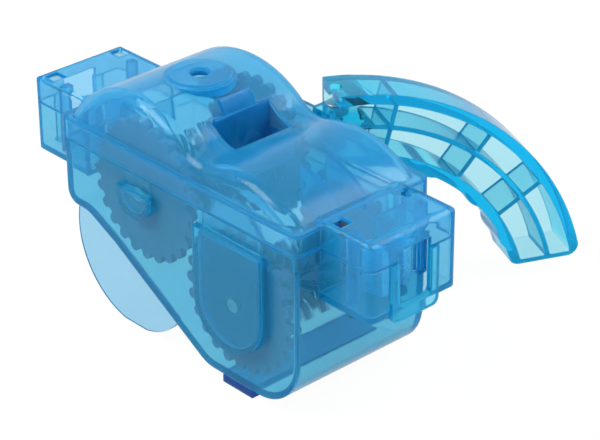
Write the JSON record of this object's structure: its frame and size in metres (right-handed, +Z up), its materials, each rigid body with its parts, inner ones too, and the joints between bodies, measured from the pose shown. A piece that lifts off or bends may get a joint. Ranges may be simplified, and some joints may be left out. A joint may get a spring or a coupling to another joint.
{
  "type": "bicycle chain cleaner",
  "caption": "Bicycle chain cleaner: translucent bath with turning brush wheels, a lift-off lid with a brush block, chain ports at both ends and a swinging curved handle.",
  "frame": {"origin": "middle of the underside of the foot under the deep end, on the surface that the tool stands on", "axes": "+X along the chain towards the deep end, +Y across the body towards the handle, +Z up"},
  "size_m": [0.1621, 0.1457, 0.0854],
  "materials": {
    "bath_plastic": "translucent blue polycarbonate, gloss",
    "lid_plastic": "translucent blue polycarbonate, gloss",
    "block_plastic": "translucent blue plastic, gloss",
    "port_plastic": "translucent cyan blue plastic, gloss",
    "handle_plastic": "translucent cyan blue plastic, gloss",
    "fin_plastic": "translucent light blue plastic, gloss",
    "foot_plastic": "translucent blue plastic, gloss",
    "carrier_plastic": "translucent blue plastic, gloss",
    "wheel_plastic": "moulded dark blue plastic, satin",
    "bristles": "nylon tufts, matte",
    "foam": "open foam, matte",
    "steel": "plated steel, satin"
  },
  "bodies": {
    "base": {"bath": "bath_plastic", "rear_carriers": "carrier_plastic", "front_carriers": "carrier_plastic", "front_port": "port_plastic", "rear_port": "port_plastic", "front_pads": "foam", "rear_pads": "foam", "prongs": "block_plastic", "magnet_seat": "bath_plastic", "magnet": "steel", "fins": "fin_plastic", "foot": "foot_plastic", "bracket": "port_plastic", "screws": "steel", "pin": "steel"},
    "rear_brush": {"rear_axle": "steel", "rear_hub": "wheel_plastic", "rear_disc_near": "wheel_plastic", "rear_disc_far": "wheel_plastic", "rear_bristles": "bristles"},
    "front_brush": {"front_axle": "steel", "front_hub": "wheel_plastic", "front_disc_near": "wheel_plastic", "front_disc_far": "wheel_plastic", "front_bristles": "bristles"},
    "lid_body": {"lid": "lid_plastic", "filler": "lid_plastic", "guides": "block_plastic"},
    "top_brush": {"brush_block": "block_plastic", "top_bristles": "bristles"},
    "handle_body": {"handle": "handle_plastic"}
  },
  "joints": [
    {"name": "rear_wheel_spin", "type": "hinge", "parent": "base", "child": "rear_brush", "pos_m": [-0.0455, 0, 0.052], "axis": [0, 1, 0], "continuous": true},
    {"name": "front_wheel_spin", "type": "hinge", "parent": "base", "child": "front_brush", "pos_m": [-0.001, 0, 0.03051], "axis": [0, 1, 0], "continuous": true},
    {"name": "lid_lift", "type": "slide", "parent": "base", "child": "lid_body", "axis": [0, 0, 1], "range_m": [0, 0.06]},
    {"name": "brush_block_lift", "type": "slide", "parent": "lid_body", "child": "top_brush", "axis": [0, 0, 1], "range_m": [0, 0.028]},
    {"name": "handle_swing", "type": "hinge", "parent": "base", "child": "handle_body", "pos_m": [-0.0211, 0.03508, 0.0638], "axis": [0, 0, 1], "range_deg": [0, 45]}
  ]
}
